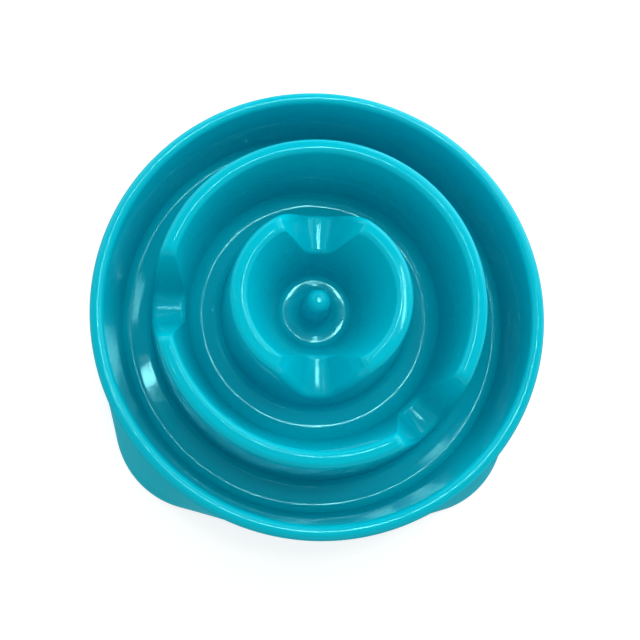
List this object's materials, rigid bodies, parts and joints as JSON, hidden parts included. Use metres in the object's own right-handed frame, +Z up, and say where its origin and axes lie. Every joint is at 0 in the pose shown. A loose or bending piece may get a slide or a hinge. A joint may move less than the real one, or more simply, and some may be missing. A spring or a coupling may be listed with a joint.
{
  "type": "slow feeder bowl",
  "caption": "Round moulded slow feeder bowl with concentric ridges, lowered bridges and a central nub, on a skirt with lobed corners and push-in rubber feet.",
  "frame": {"origin": "on the ground, under the centre of the bowl", "axes": "+Z up; X and Y run along the sides of the lobed base, with -Y towards the bottom edge of the picture"},
  "size_m": [0.292, 0.292, 0.073],
  "materials": {
    "turquoise_plastic": "glossy moulded",
    "foot_rubber": "matt moulded"
  },
  "bodies": {
    "root": {"bowl": "turquoise_plastic", "foot_front_left": "foot_rubber", "foot_front_right": "foot_rubber", "foot_rear_left": "foot_rubber", "foot_rear_right": "foot_rubber"}
  },
  "joints": []
}
